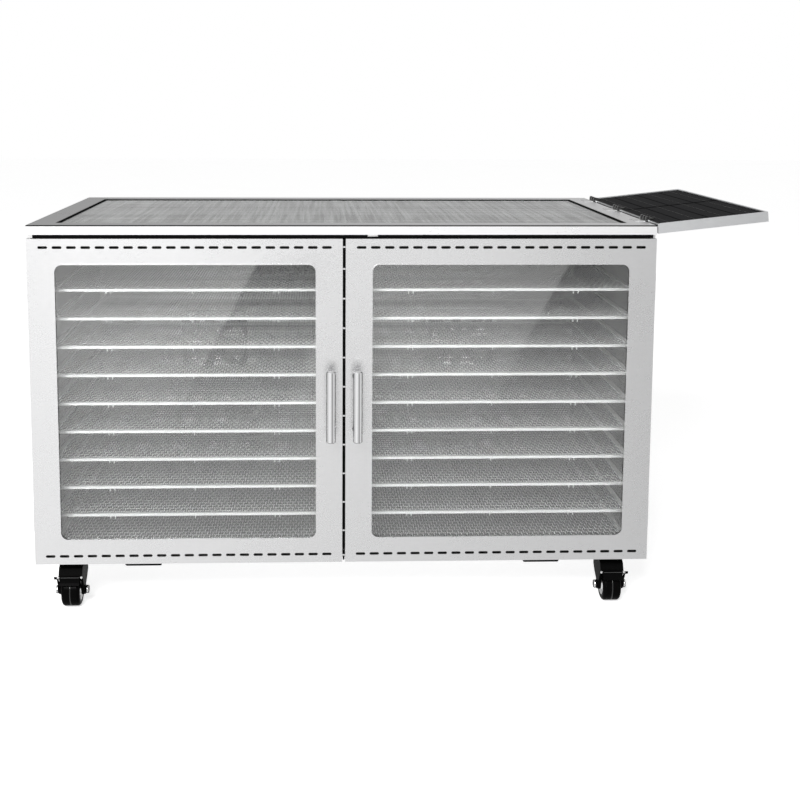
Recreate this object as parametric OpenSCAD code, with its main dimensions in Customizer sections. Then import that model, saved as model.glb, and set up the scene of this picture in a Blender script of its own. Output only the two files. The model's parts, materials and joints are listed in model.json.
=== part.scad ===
// Solar food dehydrator: a two-door steel cabinet on casters, with a glazed collector lid and a
// hinged photovoltaic wing. Lengths are in millimetres. The origin is on the floor below the
// middle of the cabinet, X runs to the right, Y to the back and Z up.

/* [Cabinet] */
// Width over the side panels and the lid
cabinet_w = 930; // [860:1:1000]
// Depth from the front of the doors to the back panel
cabinet_d = 520; // [500:1:560]
// Height of the lid above the floor
cabinet_h = 592.5; // [590:0.5:620]
// Height of the cabinet's underside above the floor
base_z = 78; // [76:0.5:80]
// Depth of the double-skinned side and back walls
wall_t = 20; // [18:1:24]
// Depth of the double-skinned floor
floor_t = 15; // [12:1:16]
// Thickness of the folded sheet steel
sheet_t = 1.2; // [0.8:0.1:2]

/* [Lid] */
// Height of the lid's edge band
lid_h = 14; // [12:0.5:18]
// Width of the steel border round the collector glass
lid_border = 36; // [30:1:50]
// Depth from the border down to the collector glass
glass_drop = 1.8; // [1.5:0.1:6]
// Thickness of the collector glass
lid_glass_t = 4; // [3:0.5:5]
// Height of the dark gap between the lid and the doors
lid_gap = 6; // [4:0.5:8]

/* [Doors] */
// Thickness of a door from its face to the back of its seal
door_t = 21.5; // [20:0.5:24]
// Gap between the two doors
door_gap = 4.5; // [4:0.5:6]
// Steel left round the window on each side
window_margin = 40; // [36:1:50]
// Steel left above and below the window
window_margin_z = 38.7; // [36:0.1:50]
// Corner radius of the window
window_r = 10.5; // [6:0.5:16]
// Thickness of the window glass
door_glass_t = 4; // [3:0.5:5]
// Number of vent slots in a row
slot_count = 21; // [9:2:21]
// Pitch of the vent slots
slot_pitch = 20.8; // [18:0.1:21]
// Length of a vent slot
slot_l = 14.2; // [10:0.1:16]
// Height of a vent slot
slot_h = 4; // [3:0.5:5]
// Distance from a door's top or bottom edge to the middle of its slots
slot_edge = 12.8; // [10:0.1:16]
// Length of a bar handle
handle_l = 107; // [90:1:130]
// Diameter of a bar handle
handle_d = 14; // [10:0.5:14]
// Distance from the door to the middle of the bar
handle_reach = 30; // [26:1:36]

/* [Trays] */
// Height of the uppermost tray's rim
tray_top = 491.4; // [480:0.1:500]
// Height from one tray to the next
tray_pitch = 43.45; // [40:0.05:43.5]
// Width of a tray
tray_w = 430; // [380:1:430]
// Depth of a tray
tray_d = 440; // [400:1:440]
// Width and height of the tray's rim bar
tray_rim = [6, 4]; // [3:0.5:8]

/* [Solar wing] */
// Width of the photovoltaic panel away from the lid
wing_w = 166; // [140:1:200]
// Depth of the photovoltaic panel along the lid
wing_d = 472; // [420:1:500]
// Thickness of the panel's frame
wing_t = 15; // [12:0.5:20]
// Upward tilt of the panel on its stops, in degrees
wing_tilt = 6.3; // [0:0.1:12]

/* [Casters] */
// Radius of a caster's wheel
wheel_r = 25; // [24:0.5:26]
// Width of a caster's wheel
wheel_w = 28; // [20:0.5:28]
// Distance between a caster's swivel and its axle
caster_trail = 21; // [18:0.5:22]
// Distance of the swivels from the middle of the cabinet, across
caster_x = 417; // [380:1:417]

/* [Hidden] */
$fn = 48;
ROWS = 10;

LEFT = -1;
RIGHT = 1;

steel = [0.78, 0.79, 0.80];
bright_steel = [0.90, 0.91, 0.92];
black = [0.05, 0.05, 0.05];
aluminium = [0.74, 0.75, 0.76];
glass = [0.70, 0.76, 0.78, 0.35];

half_w = cabinet_w / 2;
front_y = -cabinet_d / 2;
back_y = cabinet_d / 2;
face_gap = 0.5;
body_y = front_y + door_t + face_gap;
lid_bottom = cabinet_h - lid_h;
inner_x = half_w - wall_t;
floor_z = base_z + floor_t;
liner_t = 1;
frame_t = 2;
divider_half = wall_t / 2;
ceiling_z = lid_bottom - lid_gap;

// Doors
door_bottom = base_z;
door_top = lid_bottom - lid_gap;
door_w = half_w - door_gap / 2;
door_h = door_top - door_bottom;
door_x = door_gap / 2 + door_w / 2;
door_z = (door_top + door_bottom) / 2;
window_w = door_w - 2 * window_margin;
window_h = door_h - 2 * window_margin_z;
seal_t = 1.5;
pan_back_y = front_y + door_t - seal_t - liner_t;
handle_x = door_gap / 2 + 17.5;
handle_z = 326;
handle_post = handle_l / 2 - 13;

// Butt hinges of the doors
hinge_l = 40;
hinge_zs = [149, 500];
knuckle_r = 2.5;
pin_r = 1.2;
running_gap = 0.05;
leaf_t = 1;
leaf_w = 19;
hinge_x = half_w + leaf_t + 1.6;
hinge_y = body_y - 0.3;

// Trays
tray_x = divider_half + (inner_x - liner_t - divider_half) / 2;
tray_front = body_y + 12;
rail = [10, 2];
mesh_t = 0.5;

// Fans
fan_size = 120;
fan_depth = 25;
fan_bore = 57.5;
fan_x = 232.5;
fan_z = 320;
fan_back = back_y - sheet_t;
fan_hub = 18.5;

// Wing, in a frame whose origin is on its hinge and whose X follows the slope
wing_axis = [half_w + 1.2, cabinet_h + 5.4];
wing_drop = 2.85;
wing_inner = -0.9;
wing_hinge_ys = [-181, 4, 189];
wing_hinge_l = 36;
wing_lip = 3.5;
laminate_t = 5;

// Casters
caster_ys = [-203, 215];
plate_t = 2.5;
crown_r = 20;
crown = [58, base_z - plate_t - 0.4];
fork_inner = 15;
fork_t = 3;
axle_r = 4;
kingpin_r = 4;

module block(lo, hi) {
    translate(lo) cube(hi - lo);
}

// A block given by its middle in X, its width and its spans in Y and Z
module slab(x, w, ys, zs) {
    block([x - w / 2, ys[0], zs[0]], [x + w / 2, ys[1], zs[1]]);
}

module rounded_rect(w, h, r) {
    square([w - 2 * r, h], center = true);
    square([w, h - 2 * r], center = true);
    for (x = [-1, 1], y = [-1, 1])
        translate([x * (w / 2 - r), y * (h / 2 - r)]) circle(r);
}

// A flat outline standing upright, facing the front, from depth y to y + t
module upright(x, y, z, t) {
    translate([x, y + t, z]) rotate([90, 0, 0]) linear_extrude(t) children();
}

module x_rod(r, x0, x1, y, z) {
    translate([x0, y, z]) rotate([0, 90, 0]) cylinder(r = r, h = x1 - x0);
}

// ---- Cabinet shell ----

// A side panel is a folded pan, open towards the inside of the cabinet
module side_panel(side) {
    inner = side * inner_x;
    outer = side * half_w;
    color(steel) difference() {
        block([min(inner, outer), body_y, base_z], [max(inner, outer), back_y, lid_bottom]);
        block(
            [min(inner - side, outer - side * sheet_t), body_y + sheet_t, base_z + sheet_t],
            [max(inner - side, outer - side * sheet_t), back_y - sheet_t, lid_bottom - sheet_t]
        );
    }
}

module left_side_panel() { side_panel(LEFT); }

module right_side_panel() { side_panel(RIGHT); }

module base_panel() {
    color(steel) difference() {
        block([-inner_x, body_y, base_z], [inner_x, back_y, floor_z]);
        block(
            [-inner_x + sheet_t, body_y + sheet_t, base_z + sheet_t],
            [inner_x - sheet_t, back_y - sheet_t, floor_z + 1]
        );
    }
}

// One row of horizontal louvre slots, as long as the fan's circle allows
module vent_slots(x) {
    pitch = 11;
    for (i = [-4 : 4])
        slab(x, 2 * sqrt(pow(fan_bore - 3, 2) - pow(pitch * i, 2)),
             [back_y - 2, back_y + 1], [fan_z + pitch * i - 2.5, fan_z + pitch * i + 2.5]);
}

module back_panel() {
    color(steel) difference() {
        block([-inner_x, back_y - wall_t, floor_z], [inner_x, back_y, lid_bottom]);
        block(
            [-inner_x + sheet_t, back_y - wall_t - 1, floor_z + sheet_t],
            [inner_x - sheet_t, back_y - sheet_t, lid_bottom - sheet_t]
        );
        for (side = [LEFT, RIGHT]) vent_slots(side * fan_x);
    }
}

// The liner is one sheet folded up at both sides, behind the front frame
module inner_liner() {
    color(steel) difference() {
        block([-inner_x, body_y + frame_t, floor_z], [inner_x, back_y - wall_t, ceiling_z]);
        block(
            [-inner_x + liner_t, body_y, floor_z + liner_t],
            [inner_x - liner_t, back_y, ceiling_z + 1]
        );
    }
}

// The divider is a box section, open at its top and bottom ends
module centre_divider() {
    ys = [body_y + frame_t, back_y - wall_t];
    zs = [floor_z + liner_t, ceiling_z];
    color(steel) difference() {
        slab(0, 2 * divider_half, ys, zs);
        slab(0, 2 * (divider_half - sheet_t), [ys[0] + sheet_t, ys[1] - sheet_t],
             [zs[0] - 1, zs[1] + 1]);
    }
}

module front_frame() {
    ys = [body_y, body_y + frame_t];
    header = ceiling_z - 16;
    color(steel) {
        slab(0, 2 * inner_x, ys, [header, lid_bottom]);
        slab(0, 2 * divider_half, ys, [floor_z, header]);
    }
}

// The seal below the lid stops short of the cabinet's sides
seal_left = half_w - 9;
seal_right = half_w - 5;

// A black strip fills the gap between the doors, and another the gap below the lid, where two
// small catches stand out from it
module frame_seals() {
    catch_x = 290;
    color(black) {
        slab(0, 2.6, [front_y + 4, body_y], [door_bottom + 2, ceiling_z]);
        block([-seal_left, front_y + 2, ceiling_z + 1], [seal_right, body_y, lid_bottom]);
        for (x = [-catch_x, catch_x])
            slab(x, 9, [front_y + 1, front_y + 3], [lid_bottom - 3, lid_bottom]);
    }
}

module seal_clips() {
    tick = [3.8, 2.2];
    first = 126.8;
    ends = [[-half_w + 2, -seal_left], [seal_right, half_w - 2]];
    heights = concat([88], [for (i = [0 : 9]) first + 44.5 * i], [560]);
    color(bright_steel) {
        for (z = heights) difference() {
            slab(0, tick[0], [front_y + 3, body_y - 2], [z - tick[1] / 2, z + tick[1] / 2]);
            slab(0, 2.6, [front_y + 4, body_y], [z - tick[1], z + tick[1]]);
        }
        for (e = ends) block([e[0], front_y + 1.5, ceiling_z + 1], [e[1], body_y, lid_bottom]);
        slab(42, 15, [front_y + 1.2, front_y + 2], [lid_bottom - 2.6, lid_bottom]);
    }
}

// ---- Collector lid ----

open_w = cabinet_w - 2 * lid_border;
open_d = cabinet_d - 2 * lid_border;
lid_glass_top = cabinet_h - glass_drop;
lid_glass_bottom = lid_glass_top - lid_glass_t;

module lid_ring(margin, width, zs) {
    w = cabinet_w - 2 * margin;
    d = cabinet_d - 2 * margin;
    difference() {
        slab(0, w, [-d / 2, d / 2], zs);
        slab(0, w - 2 * width, [-d / 2 + width, d / 2 - width], [zs[0] - 1, zs[1] + 1]);
    }
}

// The lid's border is a channel folded downwards, with a ledge inside that carries the glass
module lid_frame() {
    bead = 1.3;
    color(steel) {
        difference() {
            lid_ring(0, lid_border, [lid_bottom, cabinet_h]);
            lid_ring(sheet_t, lid_border - 2 * sheet_t, [lid_bottom - 1, cabinet_h - sheet_t - 0.6]);
            slab(0, cabinet_w + 2, [front_y - 1, front_y + bead], [cabinet_h - bead, cabinet_h + 1]);
        }
        lid_ring(lid_border - sheet_t, 10, [lid_glass_bottom - sheet_t, lid_glass_bottom]);
    }
}

module lid_glass() {
    color(glass)
        slab(0, open_w - 1, [-open_d / 2 + 0.5, open_d / 2 - 0.5], [lid_glass_bottom, lid_glass_top]);
}

// The glazing bead round the glass, and the black bead let into the lid's front edge
module lid_gasket() {
    bead = 1.3;
    color(black) {
        lid_ring(lid_border, 3, [lid_glass_top, cabinet_h - 0.6]);
        slab(0, cabinet_w, [front_y, front_y + bead], [cabinet_h - bead, cabinet_h]);
    }
}

// The absorber hangs below the lid as a shallow pan and is the ceiling of both compartments
module absorber_plate() {
    w = 2 * inner_x - 1;
    ys = [body_y + frame_t, back_y - wall_t];
    color(black) difference() {
        slab(0, w, ys, [ceiling_z, lid_bottom]);
        slab(0, w - 2, [ys[0] + 1, ys[1] - 1], [ceiling_z + 1, lid_bottom + 1]);
    }
}

// ---- Trays ----

function tray_z(row) = tray_top - tray_pitch * row;

module tray_rim_frame(x, z) {
    ys = [tray_front, tray_front + tray_d];
    zs = [z - tray_rim[1] / 2, z + tray_rim[1] / 2];
    clip_xs = [-129, -122, 0, 122, 129];
    difference() {
        slab(x, tray_w, ys, zs);
        slab(x, tray_w - 2 * tray_rim[0], [ys[0] + tray_rim[0], ys[1] - tray_rim[0]],
             [zs[0] - 1, zs[1] + 1]);
    }
    for (dx = clip_xs) slab(x + dx, 1.4, [ys[0] + 1, ys[0] + 3], [zs[0] - 4, zs[0]]);
}

module tray_row(row) {
    color(bright_steel)
        for (side = [LEFT, RIGHT]) tray_rim_frame(side * tray_x, tray_z(row));
}

module tray_row_01() { tray_row(0); }

module tray_row_02() { tray_row(1); }

module tray_row_03() { tray_row(2); }

module tray_row_04() { tray_row(3); }

module tray_row_05() { tray_row(4); }

module tray_row_06() { tray_row(5); }

module tray_row_07() { tray_row(6); }

module tray_row_08() { tray_row(7); }

module tray_row_09() { tray_row(8); }

module tray_row_10() { tray_row(9); }

module tray_meshes() {
    ys = [tray_front + tray_rim[0], tray_front + tray_d - tray_rim[0]];
    color([0.7, 0.7, 0.7])
        for (row = [0 : ROWS - 1], side = [LEFT, RIGHT])
            slab(side * tray_x, tray_w - 2 * tray_rim[0], ys,
                 [tray_z(row) - mesh_t / 2, tray_z(row) + mesh_t / 2]);
}

module tray_rails() {
    wall_xs = [divider_half + rail[0] / 2, inner_x - liner_t - rail[0] / 2];
    color(steel)
        for (row = [0 : ROWS - 1], side = [LEFT, RIGHT], x = wall_xs) {
            top = tray_z(row) - tray_rim[1] / 2;
            slab(side * x, rail[0], [tray_front, tray_front + tray_d], [top - rail[1], top]);
        }
}

// ---- Fans ----

// Places children whose Z axis is a fan's axis, from the back panel towards the trays
module at_fan(side) {
    translate([side * fan_x, fan_back, fan_z]) rotate([90, 0, 0]) children();
}

module fan_frame() {
    stub_r = 1.5;
    difference() {
        linear_extrude(fan_depth) rounded_rect(fan_size, fan_size, 6);
        translate([0, 0, -1]) cylinder(r = fan_bore, h = fan_depth + 2, $fn = 96);
    }
    cylinder(r = fan_hub, h = 5);
    for (a = [0 : 90 : 270]) rotate(a + 45) translate([fan_hub - 2, -3, 0]) cube([42, 6, 4]);
    cylinder(r = stub_r, h = 20);
}

module fan_frames() {
    color(black) for (side = [LEFT, RIGHT]) at_fan(side) fan_frame();
}

module impeller(side) {
    blades = 7;
    bore_r = 1.5 + running_gap;
    color([0.12, 0.12, 0.13]) at_fan(side) difference() {
        union() {
            translate([0, 0, 5.6]) cylinder(r = fan_hub, h = 17);
            for (i = [0 : blades - 1])
                rotate(360 / blades * i) translate([fan_hub - 2, 0, 14]) rotate([38, 0, 0])
                    translate([0, -9, -0.8]) cube([38, 18, 1.6]);
        }
        translate([0, 0, 5]) cylinder(r = bore_r, h = 15.6);
    }
}

module left_impeller() { impeller(LEFT); }

module right_impeller() { impeller(RIGHT); }

module wire_ring(r) {
    rotate_extrude($fn = 64) translate([r, 0]) circle(1, $fn = 24);
}

module fan_guards() {
    wire_z = fan_depth + 1;
    color(bright_steel) for (side = [LEFT, RIGHT]) at_fan(side) {
        for (r = [12 : 10 : 52]) translate([0, 0, wire_z]) wire_ring(r);
        for (a = [45, 135]) rotate(a) translate([-76, -1.5, fan_depth]) cube([152, 3, 2]);
    }
}

// ---- Doors ----

module vent_row(side, z, y, t) {
    for (i = [0 : slot_count - 1]) {
        x = side * door_x + (i - (slot_count - 1) / 2) * slot_pitch;
        upright(x, y, z, t) rounded_rect(slot_l, slot_h, slot_h / 2 - 0.01);
    }
}

module door_openings(side, y, t, grow) {
    upright(side * door_x, y, door_z, t)
        rounded_rect(window_w + 2 * grow, window_h + 2 * grow, window_r + grow);
    for (z = [door_bottom + slot_edge, door_top - slot_edge]) vent_row(side, z, y, t);
}

// The outer pan of a door, with a low pressed bead round its window
module door_panel(side) {
    bead = [1.6, 0.6];
    color(steel) difference() {
        union() {
            slab(side * door_x, door_w, [front_y, pan_back_y], [door_bottom, door_top]);
            upright(side * door_x, front_y - bead[1], door_z, 2)
                rounded_rect(window_w + 2 * bead[0], window_h + 2 * bead[0], window_r + bead[0]);
        }
        slab(side * door_x, door_w - 2 * sheet_t, [front_y + sheet_t, pan_back_y + 1],
             [door_bottom + sheet_t, door_top - sheet_t]);
        door_openings(side, front_y - 2, 4, 0);
    }
}

module left_door_panel() { door_panel(LEFT); }

module right_door_panel() { door_panel(RIGHT); }

glazing_y = front_y + sheet_t;
glazing_gasket_t = 2;
liner_tube_y = glazing_y + door_glass_t + glazing_gasket_t;

// The inner plate of a door, with a collar that reaches forward to the glazing gasket
module door_liner(side) {
    collar = 6;
    color(steel) difference() {
        union() {
            slab(side * door_x, door_w, [pan_back_y, pan_back_y + liner_t], [door_bottom, door_top]);
            upright(side * door_x, liner_tube_y, door_z, pan_back_y - liner_tube_y + 0.5)
                rounded_rect(window_w + 2 * (collar + sheet_t), window_h + 2 * (collar + sheet_t),
                             window_r + collar + sheet_t);
        }
        door_openings(side, liner_tube_y - 1, door_t, collar);
    }
}

module left_door_liner() { door_liner(LEFT); }

module right_door_liner() { door_liner(RIGHT); }

module door_glass(side) {
    rim = 8;
    color(glass) upright(side * door_x, glazing_y, door_z, door_glass_t)
        rounded_rect(window_w + 2 * rim, window_h + 2 * rim, window_r + rim);
}

module left_door_glass() { door_glass(LEFT); }

module right_door_glass() { door_glass(RIGHT); }

// The glazing gasket behind the glass, and the seal round the back of the door
module door_seals(side) {
    inset = 1.5;
    seal_w = 8;
    ys = [front_y + door_t - seal_t, front_y + door_t];
    color(black) {
        upright(side * door_x, glazing_y + door_glass_t, door_z, glazing_gasket_t) difference() {
            rounded_rect(window_w + 14.4, window_h + 14.4, window_r + 7.2);
            rounded_rect(window_w + 4, window_h + 4, window_r + 2);
        }
        difference() {
            slab(side * door_x, door_w - 2 * inset, ys, [door_bottom + inset, door_top - inset]);
            slab(side * door_x, door_w - 2 * (inset + seal_w), [ys[0] - 1, ys[1] + 1],
                 [door_bottom + inset + seal_w, door_top - inset - seal_w]);
        }
    }
}

module left_door_seals() { door_seals(LEFT); }

module right_door_seals() { door_seals(RIGHT); }

// A round bar with eased ends, standing off the door on two posts
module door_handle(side) {
    r = handle_d / 2;
    ease = 1.2;
    color(bright_steel) translate([side * handle_x, front_y - handle_reach, handle_z]) {
        rotate_extrude() polygon([
            [0, -handle_l / 2], [r - ease, -handle_l / 2], [r, -handle_l / 2 + ease],
            [r, handle_l / 2 - ease], [r - ease, handle_l / 2], [0, handle_l / 2]
        ]);
        for (dz = [-handle_post, handle_post])
            translate([0, 0, dz]) rotate([-90, 0, 0]) {
                cylinder(r = 4, h = handle_reach);
                translate([0, 0, handle_reach - 2]) cylinder(r = 6.5, h = 2);
            }
    }
}

module left_door_handle() { door_handle(LEFT); }

module right_door_handle() { door_handle(RIGHT); }

// ---- Butt hinges ----

// Five knuckles share a hinge of length len: the fixed leaf has three and the moving leaf two
function knuckle_spans(len, fixed) =
    let (k = len / 5, g = 0.15)
    [for (i = [fixed ? 0 : 1 : 2 : 4]) [-len / 2 + k * i + (i > 0 ? g : 0),
                                         -len / 2 + k * (i + 1) - (i < 4 ? g : 0)]];

// A leaf in its own frame: the pin is the Z axis, the leaf lies on the plane X = offset, towards +Y
module hinge_leaf(len, fixed, offset) {
    difference() {
        union() {
            translate([offset, knuckle_r + 0.4, -len / 2])
                cube([leaf_t, leaf_w - knuckle_r - 0.4, len]);
            for (s = knuckle_spans(len, fixed)) {
                translate([offset, 0, s[0]]) cube([leaf_t, knuckle_r + 1, s[1] - s[0]]);
                translate([0, 0, s[0]]) cylinder(r = knuckle_r, h = s[1] - s[0]);
            }
        }
        if (!fixed) cylinder(r = pin_r + running_gap, h = len + 2, center = true);
    }
    if (fixed) cylinder(r = pin_r, h = len, center = true);
    leaf_screws(len, offset);
}

module leaf_screws(len, offset) {
    for (z = [-len / 2 + 8, len / 2 - 8])
        translate([offset + leaf_t - 0.1, leaf_w - 6, z]) rotate([0, 90, 0])
            cylinder(r = 2.4, h = 0.7);
}

module door_hinges(side, fixed) {
    for (z = hinge_zs) translate([side * hinge_x, hinge_y, z])
        mirror([side == LEFT ? 1 : 0, 0, 0]) mirror([0, fixed ? 0 : 1, 0])
            hinge_leaf(hinge_l, fixed, -1.6 - leaf_t);
}

module cabinet_hinge_leaves() {
    color(bright_steel) for (side = [LEFT, RIGHT]) door_hinges(side, true);
}

module left_door_hinge_leaves() { color(bright_steel) door_hinges(LEFT, false); }

module right_door_hinge_leaves() { color(bright_steel) door_hinges(RIGHT, false); }

// ---- Photovoltaic wing ----

module on_wing() {
    translate([wing_axis[0], 0, wing_axis[1]]) rotate([0, -wing_tilt, 0]) children();
}

wing_y0 = front_y;
wing_top = -wing_drop;

// The frame is an extruded channel: an outer wall, a lip over the laminate and a foot below it
module solar_frame() {
    wall = 2;
    foot = 14;
    z0 = wing_top - wing_t;
    color(aluminium) on_wing() translate([wing_inner, wing_y0, 0]) difference() {
        block([0, 0, z0], [wing_w, wing_d, wing_top]);
        block([wing_lip, wing_lip, wing_top - 3], [wing_w - wing_lip, wing_d - wing_lip, 1]);
        block([wall, wall, z0 + 1.5], [wing_w - wall, wing_d - wall, wing_top - 1.5]);
        block([foot, foot, z0 - 1], [wing_w - foot, wing_d - foot, z0 + 3]);
    }
}

module solar_laminate() {
    wall = 2;
    top = wing_top - 1.5;
    color([0.05, 0.06, 0.09]) on_wing() translate([wing_inner, wing_y0, 0])
        block([wall, wall, top - laminate_t], [wing_w - wall, wing_d - wall, top]);
}

module solar_junction_box() {
    back = wing_top - 1.5 - laminate_t;
    color(black) on_wing() translate([wing_inner + 50, 90, back - 18]) {
        cube([50, 62, 18]);
        translate([25, 0, 8]) rotate([90, 0, 0]) cylinder(r = 5, h = 9);
    }
}

// Hinge leaves of the wing lie flat, with their pins along Y
module solar_hinge_leaves() {
    color(black) on_wing() for (y = wing_hinge_ys)
        translate([0, y, 0]) rotate([90, 0, 0]) {
            difference() {
                union() {
                    translate([knuckle_r + 0.4, wing_top, -wing_hinge_l / 2])
                        cube([8, leaf_t, wing_hinge_l]);
                    for (s = knuckle_spans(wing_hinge_l, false)) translate([0, 0, s[0]]) {
                        translate([-0.5, wing_top, 0]) cube([4, leaf_t, s[1] - s[0]]);
                        cylinder(r = knuckle_r, h = s[1] - s[0]);
                    }
                }
                cylinder(r = pin_r + running_gap, h = wing_hinge_l + 2, center = true);
            }
        }
}

// The lid's leaves rise to the pins, and a stop bracket under each hinge carries the wing
module lid_hinge_leaves() {
    rise = wing_axis[1] - cabinet_h;
    web_x = -knuckle_r - 0.1;
    color(bright_steel) for (y = wing_hinge_ys)
        translate([wing_axis[0], y, wing_axis[1]]) rotate([90, 0, 0]) {
            translate([-20, -rise, -wing_hinge_l / 2])
                cube([20 + web_x + leaf_t, leaf_t, wing_hinge_l]);
            for (s = knuckle_spans(wing_hinge_l, true)) translate([0, 0, s[0]]) {
                translate([web_x, -rise, 0]) cube([leaf_t, rise, s[1] - s[0]]);
                cylinder(r = knuckle_r, h = s[1] - s[0]);
            }
            cylinder(r = pin_r, h = wing_hinge_l, center = true);
            translate([half_w - wing_axis[0], lid_bottom - wing_axis[1], -wing_hinge_l / 2])
                cube([9, 1, wing_hinge_l]);
        }
}

// ---- Fittings ----

module cable_gland() {
    color(black) translate([half_w, 150, 540]) rotate([0, 90, 0]) {
        cylinder(r = 11, h = 5, $fn = 6);
        cylinder(r = 8, h = 12);
        translate([0, 0, 12]) cylinder(r = 6.5, h = 6);
    }
}

module rest_pads() {
    pad = [56, 30, 12];
    color(black) for (side = [LEFT, RIGHT])
        upright(side * 306, body_y + 2, base_z - pad[2] / 2, pad[1])
            rounded_rect(pad[0], pad[2], 3);
}

// ---- Casters ----

// Places children in a caster's own frame: its swivel axis is Z and its wheel trails to the front
module at_caster(side, end) {
    translate([side * caster_x, caster_ys[end], 0]) children();
}

module caster_plates() {
    plate = 58;
    bolt = 21;
    color(black) for (side = [LEFT, RIGHT], end = [0, 1]) at_caster(side, end) {
        slab(0, plate, [-plate / 2, plate / 2], [base_z - plate_t, base_z]);
        for (x = [-bolt, bolt], y = [-bolt, bolt])
            translate([x, y, base_z - plate_t - 4]) cylinder(r = 4, h = 4, $fn = 6);
        translate([0, 0, crown[0] - 3]) cylinder(r = kingpin_r, h = base_z - plate_t - crown[0] + 4);
        translate([0, 0, crown[0] - 3.4]) cylinder(r = kingpin_r + 2.5, h = 3);
    }
}

// The fork: a crown that turns below the plate, two cheeks, a sloping web that joins them in front
// of the wheel, and the axle with its nuts
module fork(side, end) {
    nose = [[-20, 70.5], [-33, 62.5], [-37.7, 51.7]];
    web_back = [[-36.2, 51.2], [-31.8, 61.3], [-19, 69]];
    cheek_back = [
        [-31, 40], [-caster_trail - 8, wheel_r], [-caster_trail + 8, wheel_r], [4, 36], [14, 46],
        [14, 70.5]
    ];
    end_x = fork_inner + fork_t;
    nut_x = [end_x + 2.4, end_x + 7];
    color(black) at_caster(side, end) {
        difference() {
            union() {
                translate([0, 0, crown[0]]) cylinder(r = crown_r, h = crown[1] - crown[0]);
                slab(0, 2 * end_x, [-20, 13], [crown[0] + 6, crown[0] + 10]);
                for (x = [-end_x, fork_inner]) translate([x, 0, 0])
                    rotate([90, 0, 90]) linear_extrude(fork_t) {
                        polygon(concat(nose, cheek_back));
                        translate([-caster_trail, wheel_r]) circle(8);
                    }
                translate([-end_x, 0, 0]) rotate([90, 0, 90]) linear_extrude(2 * end_x)
                    polygon(concat(nose, web_back));
            }
            cylinder(r = kingpin_r + running_gap, h = base_z);
        }
        x_rod(axle_r, -end_x - 3, end_x + 3, -caster_trail, wheel_r);
        for (x = [-nut_x[1], nut_x[0]]) translate([x, -caster_trail, wheel_r])
            rotate([0, 90, 0]) cylinder(r = 6, h = nut_x[1] - nut_x[0], $fn = 6);
    }
}

module front_left_fork() { fork(LEFT, 0); }

module front_right_fork() { fork(RIGHT, 0); }

module rear_left_fork() { fork(LEFT, 1); }

module rear_right_fork() { fork(RIGHT, 1); }

// A wheel with rounded shoulders and a raised hub on each side
module wheel(side, end) {
    shoulder = 5;
    hub_half = fork_inner - 0.4;
    color([0.10, 0.10, 0.10]) at_caster(side, end)
        translate([0, -caster_trail, wheel_r]) rotate([0, 90, 0]) difference() {
            union() {
                rotate_extrude($fn = 64) {
                    translate([0, -wheel_w / 2]) square([wheel_r - shoulder, wheel_w]);
                    translate([0, -wheel_w / 2 + shoulder])
                        square([wheel_r, wheel_w - 2 * shoulder]);
                    for (y = [-1, 1]) translate([wheel_r - shoulder, y * (wheel_w / 2 - shoulder)])
                        circle(shoulder);
                }
                cylinder(r = 8, h = 2 * hub_half, center = true);
            }
            cylinder(r = axle_r + running_gap, h = 2 * hub_half + 2, center = true);
        }
}

module front_left_wheel() { wheel(LEFT, 0); }

module front_right_wheel() { wheel(RIGHT, 0); }

module rear_left_wheel() { wheel(LEFT, 1); }

module rear_right_wheel() { wheel(RIGHT, 1); }

// A point at a radius and an angle above level, to the front of an axle
function front_point(r, angle) = [-r * cos(angle), r * sin(angle)];

// A flat plate between two radii and two angles, bent round the axle in straight folds
module front_arc(r0, r1, angles) {
    folds = 3;
    steps = [for (i = [0 : folds]) angles[0] + (angles[1] - angles[0]) * i / folds];
    polygon(concat([for (a = steps) front_point(r1, a)],
                   [for (i = [folds : -1 : 0]) front_point(r0, steps[i])]));
}

// The brake pedal, pressed down to brake: a bar with a toe tab on its outer end, and a narrower shoe
// below it, hung on the axle by an arm outside each cheek
module brake_pedal(side) {
    arm_t = 1.6;
    half = fork_inner + fork_t + 0.4 + arm_t;
    tab = 4;
    shoe_half = 15;
    shoe = [wheel_r + 4.5, wheel_r + 7.5];
    bar_r = wheel_r + 9;
    shoe_angles = [30, 50.5];
    bar_angles = [50.5, 54];
    ends = side == LEFT ? [-half - tab, half] : [-half, half + tab];
    color(black) at_caster(side, 0) translate([0, -caster_trail, wheel_r])
        rotate([90, 0, 90]) {
            translate([0, 0, -shoe_half]) linear_extrude(2 * shoe_half)
                front_arc(shoe[0], shoe[1], shoe_angles);
            translate([0, 0, ends[0]]) linear_extrude(ends[1] - ends[0])
                front_arc(shoe[0], bar_r, bar_angles);
            for (z = [-half, half - arm_t]) translate([0, 0, z]) linear_extrude(arm_t)
                difference() {
                    union() {
                        circle(7.5);
                        polygon([[7, 0], [-7, 0], front_point(bar_r, bar_angles[0]),
                                 front_point(bar_r, bar_angles[1]),
                                 front_point(shoe[0], bar_angles[1])]);
                    }
                    circle(axle_r + running_gap);
                }
        }
}

module left_brake_pedal() { brake_pedal(LEFT); }

module right_brake_pedal() { brake_pedal(RIGHT); }

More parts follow.
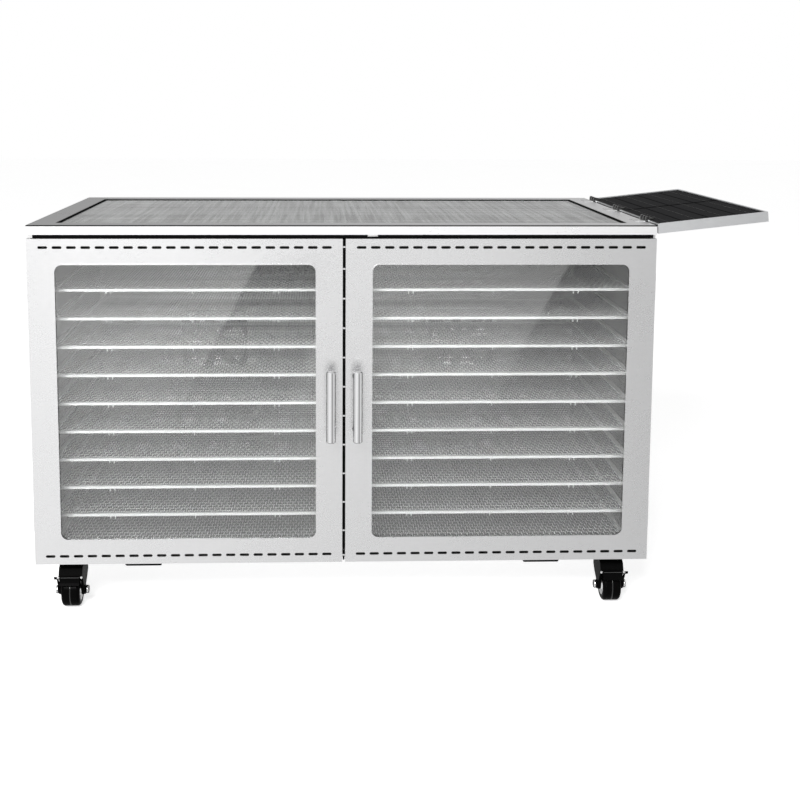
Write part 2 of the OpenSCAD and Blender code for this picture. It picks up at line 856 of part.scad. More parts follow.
base_panel();
inner_liner();
left_side_panel();
right_side_panel();
back_panel();
centre_divider();
front_frame();
frame_seals();
seal_clips();
absorber_plate();
lid_frame();
lid_glass();
lid_gasket();
tray_rails();
tray_row_01();
tray_row_02();
tray_row_03();
tray_row_04();
tray_row_05();
tray_row_06();
tray_row_07();
tray_row_08();
tray_row_09();
tray_row_10();
tray_meshes();
fan_frames();
fan_guards();
left_impeller();
right_impeller();
cabinet_hinge_leaves();
lid_hinge_leaves();
caster_plates();
cable_gland();
rest_pads();
left_door_panel();
left_door_liner();
left_door_glass();
left_door_seals();
left_door_handle();
left_door_hinge_leaves();
right_door_panel();
right_door_liner();
right_door_glass();
right_door_seals();
right_door_handle();
right_door_hinge_leaves();
solar_frame();
solar_laminate();
solar_junction_box();
solar_hinge_leaves();
front_left_fork();
front_right_fork();
rear_left_fork();
rear_right_fork();
front_left_wheel();
front_right_wheel();
rear_left_wheel();
rear_right_wheel();
left_brake_pedal();
right_brake_pedal();
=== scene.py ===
import json
import math

import bmesh
import bpy
from mathutils import Matrix, Vector


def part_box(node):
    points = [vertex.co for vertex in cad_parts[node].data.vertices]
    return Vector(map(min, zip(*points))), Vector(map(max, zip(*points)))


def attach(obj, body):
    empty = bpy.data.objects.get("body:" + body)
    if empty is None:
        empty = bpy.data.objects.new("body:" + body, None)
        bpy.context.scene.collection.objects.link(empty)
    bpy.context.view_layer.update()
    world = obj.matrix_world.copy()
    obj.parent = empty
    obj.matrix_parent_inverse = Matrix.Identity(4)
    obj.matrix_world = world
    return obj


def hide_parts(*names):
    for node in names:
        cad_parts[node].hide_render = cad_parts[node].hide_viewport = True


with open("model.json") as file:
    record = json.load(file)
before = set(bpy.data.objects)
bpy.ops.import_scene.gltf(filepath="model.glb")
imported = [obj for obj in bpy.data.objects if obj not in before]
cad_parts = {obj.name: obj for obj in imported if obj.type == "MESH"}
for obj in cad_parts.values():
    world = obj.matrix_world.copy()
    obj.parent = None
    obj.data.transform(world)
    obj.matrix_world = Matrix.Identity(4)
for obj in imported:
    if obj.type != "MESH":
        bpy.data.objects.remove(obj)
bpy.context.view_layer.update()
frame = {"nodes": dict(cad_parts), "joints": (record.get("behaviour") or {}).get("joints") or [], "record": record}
NODES = frame["nodes"]

MM = 0.001
SIDES = ("left", "right")
ROWS = range(1, 11)
GRAIN_HEIGHT = 0.2 * MM
WHEEL_STEPS = 72


# ---------------------------------------------------------------- materials

def new_material(name):
    """A material with one Principled shader; returns it with its tree and the shader."""
    material = bpy.data.materials.new(name)
    material.use_nodes = True
    tree = material.node_tree
    return material, tree, tree.nodes["Principled BSDF"]


def node(tree, kind, **settings):
    """Adds a node and sets its properties."""
    made = tree.nodes.new(kind)
    for key, value in settings.items():
        setattr(made, key, value)
    return made


def maths(tree, operation, a, b=0.0):
    """A sum, product or the like of a and b, each a number or a socket."""
    made = node(tree, "ShaderNodeMath", operation=operation)
    for value, socket in zip((a, b), made.inputs):
        if isinstance(value, (int, float)):
            socket.default_value = value
        else:
            tree.links.new(value, socket)
    return made.outputs[0]


def place(tree, axis, space="Object"):
    """Where the surface is along one axis, in the row frame or in another space."""
    where = node(tree, "ShaderNodeTexCoord")
    split = node(tree, "ShaderNodeSeparateXYZ")
    tree.links.new(where.outputs[space], split.inputs[0])
    return split.outputs[axis]


def noise(tree, scale, stretch=(1, 1, 1), detail=3.0, roughness=0.5):
    """A noise pattern in the row frame; stretch squeezes it along each axis."""
    where = node(tree, "ShaderNodeTexCoord")
    mapping = node(tree, "ShaderNodeMapping")
    mapping.inputs["Scale"].default_value = stretch
    made = node(tree, "ShaderNodeTexNoise")
    made.inputs["Scale"].default_value = scale
    made.inputs["Detail"].default_value = detail
    made.inputs["Roughness"].default_value = roughness
    tree.links.new(where.outputs["Object"], mapping.inputs["Vector"])
    tree.links.new(mapping.outputs["Vector"], made.inputs["Vector"])
    return made.outputs["Fac"]


def spread(tree, value, low, high, from_low=0.3, from_high=0.7):
    """value, taken from its own range to low..high."""
    made = node(tree, "ShaderNodeMapRange")
    made.inputs["From Min"].default_value = from_low
    made.inputs["From Max"].default_value = from_high
    made.inputs["To Min"].default_value = low
    made.inputs["To Max"].default_value = high
    tree.links.new(value, made.inputs["Value"])
    return made.outputs["Result"]


def shades(tree, value, dark, light):
    """A colour between dark and light, by value. Each of the two is a colour or a socket."""
    made = node(tree, "ShaderNodeMix", data_type="RGBA")
    for side, colour in (("A", dark), ("B", light)):
        if isinstance(colour, (tuple, list)):
            made.inputs[side].default_value = (*colour, 1)
        else:
            tree.links.new(colour, made.inputs[side])
    tree.links.new(value, made.inputs["Factor"])
    return made.outputs["Result"]


def toned(colour, share):
    """The colour, brightened or darkened by a share."""
    return [channel * share for channel in colour]


def bump(tree, shader, height, strength):
    """Raises the surface by a pattern of up to GRAIN_HEIGHT."""
    made = node(tree, "ShaderNodeBump")
    made.inputs["Strength"].default_value = strength
    made.inputs["Distance"].default_value = GRAIN_HEIGHT
    tree.links.new(height, made.inputs["Height"])
    tree.links.new(made.outputs["Normal"], shader.inputs["Normal"])


def brushed_steel(name, tone, rough, grain=(1, 1, 0.012), front_edge=None):
    """Sheet steel with a short mottled grain, cloudy gloss and faint handling marks. front_edge is
    the Y of a front face with a satin finish; the sheet behind it gets painted shade, which
    is darker at the left."""
    material, tree, shader = new_material(name)
    lines = noise(tree, 900, grain, detail=4)
    flecks = noise(tree, 260, (0.45, 1, 1), detail=5, roughness=0.75)
    clouds = noise(tree, 7, detail=2)
    shader.inputs["Metallic"].default_value = 1
    mottle = maths(tree, "ADD", spread(tree, lines, 0, 0.35), spread(tree, flecks, 0, 0.65))
    sheet = shades(tree, mottle, toned(tone, 0.95), tone)
    if front_edge is not None:
        behind = spread(tree, place(tree, "Y"), 0, 1, front_edge, front_edge + MM)
        tree.links.new(spread(tree, behind, 0.75, 1, 0, 1), shader.inputs["Metallic"])
        # painted shade on the sheet behind the front face: across it, lighter from left to right
        across = maths(tree, "ADD", spread(tree, mottle, 0, 0.15, 0, 1),
                       spread(tree, place(tree, "X"), 0, 0.85, -0.46, 0.46))
        sheet = shades(tree, behind, sheet, shades(tree, across, toned(tone, 0.42), tone))
    tree.links.new(sheet, shader.inputs["Base Color"])
    gloss = maths(tree, "ADD", spread(tree, flecks, -0.02, 0.02),
                  spread(tree, clouds, rough - 0.03, rough + 0.03))
    tree.links.new(gloss, shader.inputs["Roughness"])
    bump(tree, shader, lines, 0.04)
    return material


def polished(name, tone, rough, rim=1.0, dark_from=None):
    """Chrome, nickel or zinc plate with a slightly uneven polish. rim is the share of the tone left
    where the surface turns away, a painted dark reflection round the edges; dark_from is the X
    beyond which the plate is painted near black, a painted shadow of the gap beside it."""
    material, tree, shader = new_material(name)
    wear = noise(tree, 60, detail=3)
    shader.inputs["Metallic"].default_value = 1
    plate = shades(tree, wear, toned(tone, 0.94), tone)
    if rim < 1:
        # painted reflection: the plate darkens where the surface turns away
        turned = node(tree, "ShaderNodeLayerWeight").outputs["Facing"]
        plate = shades(tree, spread(tree, turned, 0, 1, 0.30, 0.62), plate, toned(tone, rim))
    if dark_from is not None:
        # painted shadow: beyond dark_from the plate is near black, for the gap between the lid and the wing
        gap_shadow = spread(tree, place(tree, "X"), 0, 1, dark_from, dark_from + MM)
        plate = shades(tree, gap_shadow, plate, (0.10, 0.10, 0.10))
    tree.links.new(plate, shader.inputs["Base Color"])
    tree.links.new(spread(tree, wear, rough * 0.7, rough * 1.4), shader.inputs["Roughness"])
    return material


def satin(name, tone, rough):
    """Plated bar, part of it scattering light as a crystalline zinc coat does."""
    material, tree, shader = new_material(name)
    wear = noise(tree, 90, detail=3)
    shader.inputs["Metallic"].default_value = 0.55
    tree.links.new(shades(tree, wear, toned(tone, 0.92), tone), shader.inputs["Base Color"])
    tree.links.new(spread(tree, wear, rough * 0.8, rough * 1.3), shader.inputs["Roughness"])
    return material


def woven_wire(name, tone, rough):
    """Bright wire with painted shade where it dips under its neighbours, and painted shade deepening
    towards the back. The UV map counts the wires both ways, so the dips of one lie beside the
    high points of the next."""
    material, tree, shader = new_material(name)
    waves = [maths(tree, "COSINE", maths(tree, "MULTIPLY", place(tree, axis, "UV"), math.pi))
             for axis in "XY"]
    # painted shade of the weave: dark where a wire dips under its neighbours, light at its high points
    painted_crimp_shade = maths(tree, "MULTIPLY", *waves)
    wear = maths(tree, "ADD", painted_crimp_shade, spread(tree, noise(tree, 60, detail=3), -0.35, 0.35))
    # wear adds random tone; then painted shade deepens towards the back of the tray
    painted_shade = maths(tree, "MULTIPLY", spread(tree, wear, 0, 1, -0.45, 0.35),
                  spread(tree, place(tree, "Y"), 1, 0.14, -0.23, -0.06))
    tree.links.new(shades(tree, painted_shade, toned(tone, 0.03), tone), shader.inputs["Base Color"])
    shader.inputs["Metallic"].default_value = 0.15
    shader.inputs["Roughness"].default_value = rough
    return material


def moulded(name, tone, rough, grain=420, depth=0.25, gloss=0.5, ior=1.45):
    """Black plastic, rubber or powder coat with a fine moulded grain."""
    material, tree, shader = new_material(name)
    shader.inputs["Specular IOR Level"].default_value = gloss
    shader.inputs["IOR"].default_value = ior
    speckle = noise(tree, grain, detail=2)
    dust = noise(tree, 12, detail=3)
    dusty = [channel * 1.6 + 0.001 for channel in tone]
    tree.links.new(shades(tree, dust, tone, dusty), shader.inputs["Base Color"])
    tree.links.new(spread(tree, dust, rough - 0.06, rough + 0.06), shader.inputs["Roughness"])
    bump(tree, shader, speckle, depth)
    return material


def pane(name, tint, haze, film=0.0, coat=0.0):
    """Clear glass with faint smears, which lets lamps shine straight through. A film is a share of
    fine streaky dust that scatters light."""
    material, tree, shader = new_material(name)
    shader.inputs["Base Color"].default_value = (*tint, 1)
    shader.inputs["Transmission Weight"].default_value = 1 - film
    shader.inputs["IOR"].default_value = 1.58
    shader.inputs["Coat Weight"].default_value = coat
    shader.inputs["Coat IOR"].default_value = 1.6
    shader.inputs["Coat Roughness"].default_value = 0.01
    if film:
        lengthwise = noise(tree, 190, (1, 0.02, 1), detail=2, roughness=0.6)
        crosswise = noise(tree, 60, (0.01, 1, 1), detail=2, roughness=0.6)
        streaks = maths(tree, "ADD", spread(tree, lengthwise, 0, 0.6, 0.4, 0.6),
                        spread(tree, crosswise, 0, 0.4, 0.4, 0.6))
        tree.links.new(shades(tree, streaks, toned(tint, 0.15), tint), shader.inputs["Base Color"])
    smears = noise(tree, 9, detail=4)
    tree.links.new(spread(tree, smears, haze * 0.5, haze * 1.5), shader.inputs["Roughness"])
    clear = node(tree, "ShaderNodeBsdfTransparent")
    clear.inputs["Color"].default_value = (*tint, 1)
    path = node(tree, "ShaderNodeLightPath")
    mix = node(tree, "ShaderNodeMixShader")
    tree.links.new(path.outputs["Is Shadow Ray"], mix.inputs["Fac"])
    tree.links.new(shader.outputs[0], mix.inputs[1])
    tree.links.new(clear.outputs[0], mix.inputs[2])
    tree.links.new(mix.outputs[0], tree.nodes["Material Output"].inputs["Surface"])
    return material


def solar_cell(name):
    """Dark silicon under glass, with the faint fingers that run across a cell."""
    material, tree, shader = new_material(name)
    where = node(tree, "ShaderNodeTexCoord")
    fingers = node(tree, "ShaderNodeTexWave", wave_type="BANDS", bands_direction="Y")
    fingers.inputs["Scale"].default_value = 150
    tree.links.new(where.outputs["Object"], fingers.inputs["Vector"])
    pattern = maths(tree, "MULTIPLY", spread(tree, fingers.outputs["Fac"], 0, 1, 0.8, 1.0),
                    spread(tree, noise(tree, 40, detail=5), 0.5, 1.0))
    tree.links.new(shades(tree, pattern, (0.004, 0.004, 0.005), (0.013, 0.013, 0.015)),
                   shader.inputs["Base Color"])
    shader.inputs["Roughness"].default_value = 0.6
    shader.inputs["Specular IOR Level"].default_value = 0.0
    shader.inputs["Coat Weight"].default_value = 0.10
    shader.inputs["Coat Roughness"].default_value = 0.15
    return material


MATERIALS = {
    "steel": brushed_steel("steel", (0.90, 0.90, 0.905), 0.28),
    "lid_steel": brushed_steel("lid_steel", (0.95, 0.95, 0.955), 0.30, grain=(0.012, 1, 1),
                               front_edge=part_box("lid_frame")[0][1]),
    # inner_steel: the same brushed steel darkened to a tenth, a painted shade for the cabinet's inside
    "inner_steel": brushed_steel("inner_steel", (0.10, 0.098, 0.095), 0.46),
    "bright_steel": polished("bright_steel", (0.90, 0.90, 0.90), 0.24),
    "tray_steel": satin("tray_steel", (0.54, 0.54, 0.54), 0.35),
    "tray_mesh": woven_wire("tray_mesh", (0.60, 0.60, 0.60), 0.35),
    # rim: a painted dark reflection round the handles' edges
    "handle_chrome": polished("handle_chrome", (0.92, 0.92, 0.93), 0.07, rim=0.30),
    "dark_plate": polished("dark_plate", (0.16, 0.16, 0.16), 0.30),
    # lid_leaf: the hinge leaves are near black beyond the lid's edge, a painted shadow of the gap
    "lid_leaf": polished("lid_leaf", (0.78, 0.78, 0.78), 0.30,
                         dark_from=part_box("lid_frame")[1][0] - 2.5 * MM),
    "ribbon_tin": polished("ribbon_tin", (0.07, 0.07, 0.07), 0.40),
    # rim: a painted dark reflection, near black, round the edges of the axle nut caps
    "nut_zinc": polished("nut_zinc", (0.85, 0.85, 0.85), 0.20, rim=0.03),
    "seal_rubber": moulded("seal_rubber", (0.002, 0.002, 0.002), 0.75, gloss=0.3, ior=1.08),
    "absorber_black": moulded("absorber_black", (0.05, 0.05, 0.05), 0.70, grain=700),
    "collector_glass": pane("collector_glass", (0.94, 0.96, 0.95), 0.06, film=0.23),
    "window_glass": pane("window_glass", (0.97, 0.98, 0.975), 0.01, coat=0.7),
    "fan_plastic": moulded("fan_plastic", (0.020, 0.020, 0.021), 0.45),
    "black_plastic": moulded("black_plastic", (0.004, 0.004, 0.004), 0.50, ior=1.2),
    "caster_black": moulded("caster_black", (0.002, 0.002, 0.002), 0.22, grain=260, depth=0.10,
                            gloss=0.25, ior=1.06),
    "wheel_rubber": moulded("wheel_rubber", (0.001, 0.001, 0.001), 0.26, depth=0.12, ior=1.08),
    "tyre_seam": moulded("tyre_seam", (0.004, 0.004, 0.004), 0.12, grain=330, depth=1.0, ior=1.6),
    "gap_black": moulded("gap_black", (0.001, 0.001, 0.001), 0.60, gloss=0.2, ior=1.05),
    "wing_aluminium": brushed_steel("wing_aluminium", (0.82, 0.83, 0.84), 0.38, grain=(1, 0.02, 1)),
    "solar_cells": solar_cell("solar_cells"),
}


def dress(obj, look):
    """Gives a CAD node its material."""
    obj.data.materials.clear()
    obj.data.materials.append(MATERIALS[look])


for part in frame["record"]["subparts"]:
    dress(NODES[part["node"]], part["material_slot"])
dress(NODES["lid_frame"], "lid_steel")
dress(NODES["lid_hinge_leaves"], "lid_leaf")


# ---------------------------------------------------------------- mesh helpers

def corners(node_name):
    """The low and the high corner of a node's box."""
    return tuple(Vector(corner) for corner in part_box(node_name))


def mesh_object(name, bm, slot_name, body, smooth=False, look=None):
    """Makes an object from a bmesh, riding on a body, in its slot's material or in another look."""
    mesh = bpy.data.meshes.new(name)
    bmesh.ops.recalc_face_normals(bm, faces=bm.faces)
    bm.to_mesh(mesh)
    bm.free()
    for face in mesh.polygons:
        face.use_smooth = smooth
    obj = bpy.data.objects.new(name, mesh)
    bpy.context.scene.collection.objects.link(obj)
    obj.data.materials.append(MATERIALS[look or slot_name])
    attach(obj, body)
    return obj


def add_box(bm, low, high, turn=Matrix.Identity(4)):
    """Adds a box between two corners, moved by turn; returns its faces."""
    low, high = Vector(low), Vector(high)
    middle, size = (low + high) / 2, high - low
    matrix = turn @ Matrix.Translation(middle) @ Matrix.Diagonal((*size, 1))
    made = bmesh.ops.create_cube(bm, size=1, matrix=matrix)
    return {face for vert in made["verts"] for face in vert.link_faces}


def add_lathe(bm, outline, turn, steps):
    """Turns a closed outline of (radius, height) points about Z and moves it by turn."""
    rings = []
    for radius, height in (*outline, outline[0]):
        ring = []
        for i in range(steps):
            angle = 2 * math.pi * i / steps
            point = Vector((radius * math.cos(angle), radius * math.sin(angle), height))
            ring.append(bm.verts.new(turn @ point))
        rings.append(ring)
    for lower, upper in zip(rings, rings[1:]):
        for i in range(steps):
            j = (i + 1) % steps
            bm.faces.new((lower[i], lower[j], upper[j], upper[i]))


def mirrored(outline):
    """An outline that ends halfway, made whole by its own mirror image."""
    return outline + [(radius, -height) for radius, height in reversed(outline)]


# ---------------------------------------------------------------- trays

def wire_mesh(name, low, high, across_pitch, along_pitch, wire):
    """Close wires from front to back on wider-spaced cross wires, filling a tray's rim."""
    bm = bmesh.new()
    count = bm.loops.layers.uv.new("count")
    middle = (low.z + high.z) / 2
    across = round((high.x - low.x) / across_pitch)
    along = round((high.y - low.y) / along_pitch)
    step_x, step_y = (high.x - low.x) / across, (high.y - low.y) / along
    for i in range(1, across):
        x = low.x + step_x * i
        for face in add_box(bm, (x - wire / 2, low.y, middle), (x + wire / 2, high.y, middle + wire)):
            for loop in face.loops:
                loop[count].uv = (i, (loop.vert.co.y - low.y) / step_y)
    for j in range(1, along):
        y = low.y + step_y * j
        for face in add_box(bm, (low.x, y - wire / 2, middle - wire), (high.x, y + wire / 2, middle)):
            for loop in face.loops:
                loop[count].uv = ((loop.vert.co.x - low.x) / step_x, j + 1)
    piece = mesh_object(name, bm, "tray_mesh", "cabinet")
    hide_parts("tray_meshes")


def tray_spans(row):
    """The inside of each tray's rim in a row: two (low, high) pairs."""
    rim, lip = 6 * MM, 4 * MM
    low, high = corners(f"tray_row_{row:02d}")
    inner_low, inner_high = corners("tray_meshes")
    half_gap = corners("centre_divider")[1].x + 2 * MM
    level = high.z - lip / 2
    spans = []
    for x0, x1 in ((low.x, -half_gap), (half_gap, high.x)):
        spans.append((Vector((x0 + rim, inner_low.y, level - MM)),
                      Vector((x1 - rim, inner_high.y, level + MM))))
    return spans


for row in ROWS:
    for side, (low, high) in zip(SIDES, tray_spans(row)):
        wire_mesh(f"tray_mesh_{side}_{row:02d}", low, high,
                  across_pitch=4.3 * MM, along_pitch=13 * MM, wire=1.0 * MM)


# ---------------------------------------------------------------- wheels

def wheel_place(place_name):
    """The centre and the radius of a caster's wheel, and half its width."""
    low, high = corners(f"{place_name}_wheel")
    return (low + high) / 2, (high.z - low.z) / 2, (high.x - low.x) / 2


def caster_wheel(place_name):
    """A black rubber tyre with a moulding seam, on a bright plated wheel centre."""
    centre, radius, half_width = wheel_place(place_name)
    half = half_width - 0.6 * MM
    turn = Matrix.Translation(centre) @ Matrix.Rotation(math.pi / 2, 4, "Y")
    roller = f"{place_name}_roller"
    bore, shoulder = radius * 0.66, 5 * MM

    bm = bmesh.new()
    outline = [(bore, -half), (radius - shoulder, -half)]
    for i in range(1, 7):
        angle = math.pi / 2 * i / 6
        outline.append((radius - 0.3 * MM - shoulder + shoulder * math.sin(angle),
                        -half + shoulder - shoulder * math.cos(angle)))
    add_lathe(bm, mirrored(outline), turn, WHEEL_STEPS)
    tyre = mesh_object(f"{place_name}_tyre", bm, "wheel_rubber", roller, True)
    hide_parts(f"{place_name}_wheel")

    bm = bmesh.new()
    outline = [(radius - 0.5 * MM, -0.9 * MM), (radius - 0.2 * MM, -0.8 * MM), (radius, -0.4 * MM)]
    add_lathe(bm, mirrored(outline), turn, WHEEL_STEPS)
    mesh_object(f"{place_name}_tyre_seam", bm, "wheel_rubber", roller, True, "tyre_seam")

    bm = bmesh.new()
    hub = half + 0.5 * MM
    outline = [
        (4.05 * MM, -hub), (8 * MM, -hub), (8.6 * MM, -hub + 0.6 * MM), (9 * MM, -half + 2 * MM),
        (14 * MM, -half + 2.6 * MM), (15 * MM, -half + 0.6 * MM), (bore, -half + 0.4 * MM)
    ]
    add_lathe(bm, mirrored(outline), turn, WHEEL_STEPS)
    mesh_object(f"{place_name}_wheel_centre", bm, "bright_steel", roller, True)


def axle_caps(place_name):
    """A bright sleeve with a domed end over each axle nut."""
    centre, _, _ = wheel_place(place_name)
    near, far, sleeve, core = 21.2 * MM, 25.2 * MM, 6.3 * MM, 0.2 * MM
    outline = [(core, near), (sleeve, near), (sleeve, far - MM), (5.6 * MM, far - 0.3 * MM),
               (4.2 * MM, far), (core, far + 0.3 * MM)]
    bm = bmesh.new()
    for way in (-1, 1):
        turn = Matrix.Translation(centre) @ Matrix.Rotation(way * math.pi / 2, 4, "Y")
        add_lathe(bm, outline, turn, 40)
    mesh_object(f"{place_name}_axle_caps", bm, "bright_steel", f"{place_name}_caster", True, "nut_zinc")


def brake_trim(side):
    """Two rivets, and between them a thin grey strip on the front of the brake pedal's bar: a painted
    highlight along its edge.
    """
    centre, radius, _ = wheel_place(f"front_{side}")
    bar = radius + 9 * MM
    lean, rivet_tip = math.radians(50.5), math.radians(8)
    rivet_place, head, core = 17.5 * MM, 1.9 * MM, 0.1 * MM
    edge = Vector((centre.x, centre.y - bar * math.cos(lean), centre.z + bar * math.sin(lean)))
    outline = [(core, -0.6 * MM), (head, -0.6 * MM), (head, 0.3 * MM), (1.3 * MM, 0.9 * MM),
               (core, 1.1 * MM)]
    bm = bmesh.new()
    for way in (-1, 1):
        turn = Matrix.Translation(edge + Vector((way * rivet_place, 0, 0.4 * MM)))
        add_lathe(bm, outline, turn @ Matrix.Rotation(math.pi / 2 - rivet_tip, 4, "X"), 24)
    mesh_object(f"{side}_brake_rivets", bm, "bright_steel", f"{side}_brake")
    bm = bmesh.new()
    # painted highlight: a thin grey plated strip for the glint along the bar's front edge
    add_box(bm, edge - Vector((14 * MM, 0.3 * MM, 0.2 * MM)), edge + Vector((14 * MM, 0.6 * MM, 0.4 * MM)))
    mesh_object(f"{side}_brake_painted_highlight", bm, "bright_steel", f"{side}_brake", look="dark_plate")


for end in ("front", "rear"):
    for side in SIDES:
        caster_wheel(f"{end}_{side}")
        axle_caps(f"{end}_{side}")
for side in SIDES:
    brake_trim(side)


# ---------------------------------------------------------------- lid

def lid_front_dark_line():
    """A thin black strip along the top of the lid's front edge, the dark line where the top meets the front."""
    low, high = corners("lid_frame")
    bm = bmesh.new()
    add_box(bm, (low.x + 0.3 * MM, low.y - 0.2 * MM, high.z - 1.6 * MM),
            (high.x - 0.3 * MM, low.y + 0.4 * MM, high.z + 0.1 * MM))
    mesh_object("lid_front_dark_line", bm, "seal_rubber", "cabinet")


lid_front_dark_line()


# ---------------------------------------------------------------- door handles

def handle_washers(side):
    """A black washer round the foot of each of a handle's two posts."""
    low, high = corners(f"{side}_door_handle")
    foot, hole, rim, chamfer = 13 * MM, 4.1 * MM, 6.9 * MM, 0.5 * MM
    outline = [(hole, 0.1 * MM), (rim, 0.1 * MM), (rim, 1.9 * MM), (rim - chamfer, 2.3 * MM),
               (hole, 2.3 * MM)]
    bm = bmesh.new()
    for z in (low.z + foot, high.z - foot):
        turn = Matrix.Translation(Vector(((low.x + high.x) / 2, high.y, z)))
        add_lathe(bm, outline, turn @ Matrix.Rotation(math.pi / 2, 4, "X"), 40)
    mesh_object(f"{side}_handle_washers", bm, "black_plastic", f"{side}_door", True)


for side in SIDES:
    handle_washers(side)


# ---------------------------------------------------------------- photovoltaic wing

WING_SLOPE = math.radians(6.3)
WING_WIDTH, WING_DEPTH, WING_WALL = 166 * MM, 472 * MM, 2 * MM
WING_LEFT, WING_FRONT = -0.9 * MM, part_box("solar_frame")[0][1]
WING_BACK = WING_FRONT + WING_DEPTH
GLASS_TOP = -4.35 * MM
CELL_BORDER = 3.7 * MM
CELL_COLUMNS, CELL_ROWS = 4, 2


def wing_matrix():
    """Takes points with X up the wing's slope and Z off its face to the row frame."""
    joint = next(j for j in frame["joints"] if j["name"] == "solar_wing_hinge")
    return Matrix.Translation(Vector(joint["pos_m"])) @ Matrix.Rotation(-WING_SLOPE, 4, "Y")


def laminate(wing):
    """The dark laminate: a back sheet with eight cells on it."""
    thick, cell_foot, cell_top = 5 * MM, GLASS_TOP - 0.6 * MM, GLASS_TOP - 0.2 * MM
    bm = bmesh.new()
    add_box(bm, (WING_LEFT + WING_WALL, WING_FRONT + WING_WALL, GLASS_TOP - thick),
            (WING_LEFT + WING_WIDTH - WING_WALL, WING_BACK - WING_WALL, cell_foot), wing)
    sheet = mesh_object("solar_backsheet", bm, "solar_cells", "solar_wing", look="gap_black")
    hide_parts("solar_laminate")
    pitch_x, pitch_y = WING_WIDTH / CELL_COLUMNS, WING_DEPTH / CELL_ROWS
    gap, middle_gap = 1.2 * MM, 5 * MM
    bm = bmesh.new()
    for i in range(CELL_COLUMNS):
        for j in range(CELL_ROWS):
            left, near = WING_LEFT + pitch_x * i, WING_FRONT + pitch_y * j
            near_edge = near + middle_gap if j else WING_FRONT + CELL_BORDER
            far_edge = WING_BACK - CELL_BORDER if j else near + pitch_y - middle_gap
            add_box(bm, (max(left + gap, WING_LEFT + CELL_BORDER), near_edge, cell_foot),
                    (min(left + pitch_x - gap, WING_LEFT + WING_WIDTH - CELL_BORDER), far_edge, cell_top),
                    wing)
    mesh_object("solar_cells", bm, "solar_cells", "solar_wing")


def ribbons(wing):
    """A silver ribbon down each column of cells, with a solder pad at both ends."""
    half_width, pad_x, pad_y, pad_inset = 0.25 * MM, 1.5 * MM, 1.2 * MM, 5 * MM
    foot = GLASS_TOP - 0.2 * MM
    bm = bmesh.new()
    for i in range(CELL_COLUMNS):
        middle = WING_LEFT + WING_WIDTH / CELL_COLUMNS * (i + 0.5)
        add_box(bm, (middle - half_width, WING_FRONT + CELL_BORDER, foot),
                (middle + half_width, WING_BACK - CELL_BORDER, GLASS_TOP), wing)
        for y in (WING_FRONT + pad_inset, WING_BACK - pad_inset):
            add_box(bm, (middle - pad_x, y - pad_y, foot),
                    (middle + pad_x, y + pad_y, GLASS_TOP + 0.1 * MM), wing)
    mesh_object("solar_ribbons", bm, "bright_steel", "solar_wing", look="ribbon_tin")


def edge_strips(wing):
    """Black strips between the three hinges: one on the wing's inner lip, and on the lid's edge
    a painted shadow of the gap between lid and wing.
    """
    half_hinge, lip, lip_top = 19 * MM, 3.5 * MM, -2.85 * MM
    stops = [WING_FRONT + MM]
    for y in (-181 * MM, 4 * MM, 189 * MM):
        stops += [y - half_hinge, y + half_hinge]
    stops.append(WING_BACK - MM)
    runs = list(zip(stops[::2], stops[1::2]))
    bm = bmesh.new()
    for near, far in runs:
        add_box(bm, (WING_LEFT + 0.8 * MM, near, lip_top), (WING_LEFT + lip, far, lip_top + 0.15 * MM), wing)
    mesh_object("solar_edge_strip", bm, "black_plastic", "solar_wing")
    edge = corners("lid_frame")[1]
    # painted shadow: black strips along the lid's edge, for the gap between lid and wing
    bm = bmesh.new()
    for near, far in runs:
        add_box(bm, (edge.x - 1.3 * MM, near, edge.z), (edge.x - 0.1 * MM, far, edge.z + 0.4 * MM))
    mesh_object("lid_gap_shadow_strip", bm, "seal_rubber", "cabinet")


wing = wing_matrix()
laminate(wing)
ribbons(wing)
edge_strips(wing)


# ---------------------------------------------------------------- studio

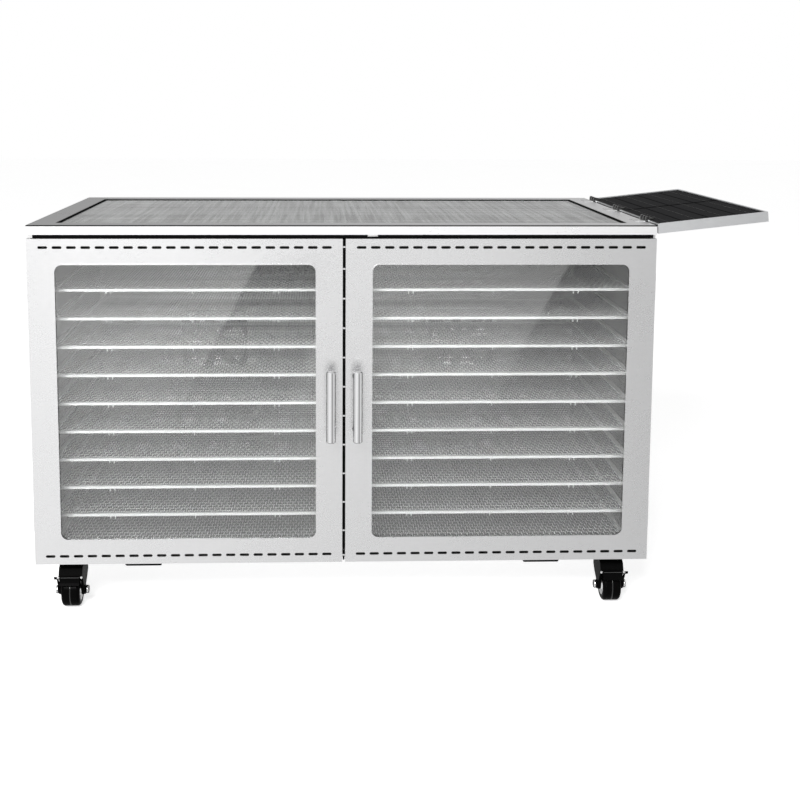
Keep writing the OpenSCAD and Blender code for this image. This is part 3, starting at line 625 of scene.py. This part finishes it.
def studio_world():
    """Soft light from a pale room: bright to the front left, dimmer to the right and behind, with two
    slanted window lights in front. The camera sees plain white behind the object."""
    world = bpy.data.worlds.new("studio")
    bpy.context.scene.world = world
    world.use_nodes = True
    tree = world.node_tree
    x, y, z = (place(tree, axis, "Generated") for axis in "XYZ")

    def times(a, b):
        return maths(tree, "MULTIPLY", a, b)

    def plus(a, b):
        return maths(tree, "ADD", a, b)

    def ramp(value, start, stop, low, high):
        return spread(tree, value, low, high, start, stop)

    # the front wall: from left to right, from the floor up, and a dim far left
    front = times(ramp(x, -0.8, 0.6, 1.62, 0.42), ramp(z, -0.5, -0.1, 1.03, 0.95))
    front = times(front, ramp(x, -0.78, -0.42, 0.62, 1))

    # the window lights: slanted panes at a constant pitch, within one part of the wall
    lean, horizon, first_pane, pitch, brightness = 0.54, 0.133, 0.7974, 0.25, 1.9
    ahead = maths(tree, "MAXIMUM", times(y, -1), 0.05)
    across, up = maths(tree, "DIVIDE", x, ahead), maths(tree, "DIVIDE", z, ahead)
    slanted = maths(tree, "SUBTRACT", across, times(plus(up, horizon), lean))
    share = maths(tree, "FRACT", maths(tree, "DIVIDE", plus(slanted, first_pane), pitch))
    panes = times(ramp(share, 0.30, 0.34, 0, 1), ramp(share, 0.99, 1.0, 1, 0))
    inside = times(ramp(across, -0.26, -0.22, 0, 1), ramp(across, 0.22, 0.26, 1, 0))
    fade = times(ramp(up, -0.27, -0.13, 0, 1), ramp(up, -0.08, -0.04, 1, 0))
    swing = times(times(inside, fade), maths(tree, "SUBTRACT", times(panes, brightness), 1.0))
    front = times(front, plus(swing, 1))

    # a bright far right, and the room behind the object
    front = plus(front, ramp(x, 0.74, 0.88, 0, 0.6))
    back = plus(ramp(z, -0.2, 0.03, 0.75, 0.58), ramp(z, 0.2, 1.0, 0, 0.6))
    side = ramp(y, -0.15, 0.15, 0, 1)
    total = plus(times(front, maths(tree, "SUBTRACT", 1, side)), times(back, side))

    # reflections see the room in full; its diffuse light is weaker
    seen = node(tree, "ShaderNodeLightPath")
    room = node(tree, "ShaderNodeBackground")
    tree.links.new(times(total, ramp(seen.outputs["Is Glossy Ray"], 0, 1, 0.55, 1)), room.inputs["Strength"])
    white = node(tree, "ShaderNodeBackground")
    white.inputs["Color"].default_value = (1, 1, 1, 1)
    mix = node(tree, "ShaderNodeMixShader")
    tree.links.new(seen.outputs["Is Camera Ray"], mix.inputs["Fac"])
    tree.links.new(room.outputs[0], mix.inputs[1])
    tree.links.new(white.outputs[0], mix.inputs[2])
    tree.links.new(mix.outputs[0], tree.nodes["World Output"].inputs["Surface"])


def softbox(name, at, aim, size, power):
    """A rectangular lamp at one point, turned towards another."""
    light = bpy.data.lights.new(name, "AREA")
    light.shape = "RECTANGLE"
    light.size, light.size_y = size
    light.energy = power
    obj = bpy.data.objects.new(name, light)
    obj.location = at
    obj.rotation_euler = (Vector(aim) - Vector(at)).to_track_quat("-Z", "Y").to_euler()
    bpy.context.scene.collection.objects.link(obj)


def studio_floor():
    """A plain pale floor, too large to see its end. It isn't mirrored in the steel."""
    bm = bmesh.new()
    bmesh.ops.create_grid(bm, x_segments=8, y_segments=8, size=14)
    mesh = bpy.data.meshes.new("floor")
    bm.to_mesh(mesh)
    bm.free()
    floor = bpy.data.objects.new("floor", mesh)
    material, tree, shader = new_material("floor")
    tree.links.new(shades(tree, noise(tree, 2, detail=2), (0.90, 0.90, 0.90), (0.94, 0.94, 0.94)),
                   shader.inputs["Base Color"])
    shader.inputs["Roughness"].default_value = 0.85
    shader.inputs["Emission Color"].default_value = (1, 1, 1, 1)
    shader.inputs["Emission Strength"].default_value = 0.60
    mesh.materials.append(material)
    floor.visible_glossy = False
    bpy.context.scene.collection.objects.link(floor)


def photo_camera():
    """The photograph's view: from above the lid, a little left of the middle. A lens shift takes up
    most of the tilt, as far as other views can carry it."""
    distance, left, height = 1.854, 0.040, 0.779
    pan, tilt, roll = 0.0374, 0.1244, 0.004
    camera = bpy.data.cameras.new("camera")
    camera.sensor_width = 36
    camera.lens = 56.98
    camera.shift_x = 0.044
    camera.shift_y = -0.18
    obj = bpy.data.objects.new("camera", camera)
    obj.location = (-left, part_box("lid_frame")[0][1] - distance, height)
    obj.rotation_euler = (math.pi / 2 - tilt, -roll, -pan)
    bpy.context.scene.collection.objects.link(obj)
    bpy.context.scene.camera = obj


studio_world()
softbox("key", at=(-0.9, -3.1, 2.2), aim=(0, -0.2, 0.3), size=(1.5, 1.0), power=120)
studio_floor()
photo_camera()
bpy.context.scene.view_settings.view_transform = "Standard"
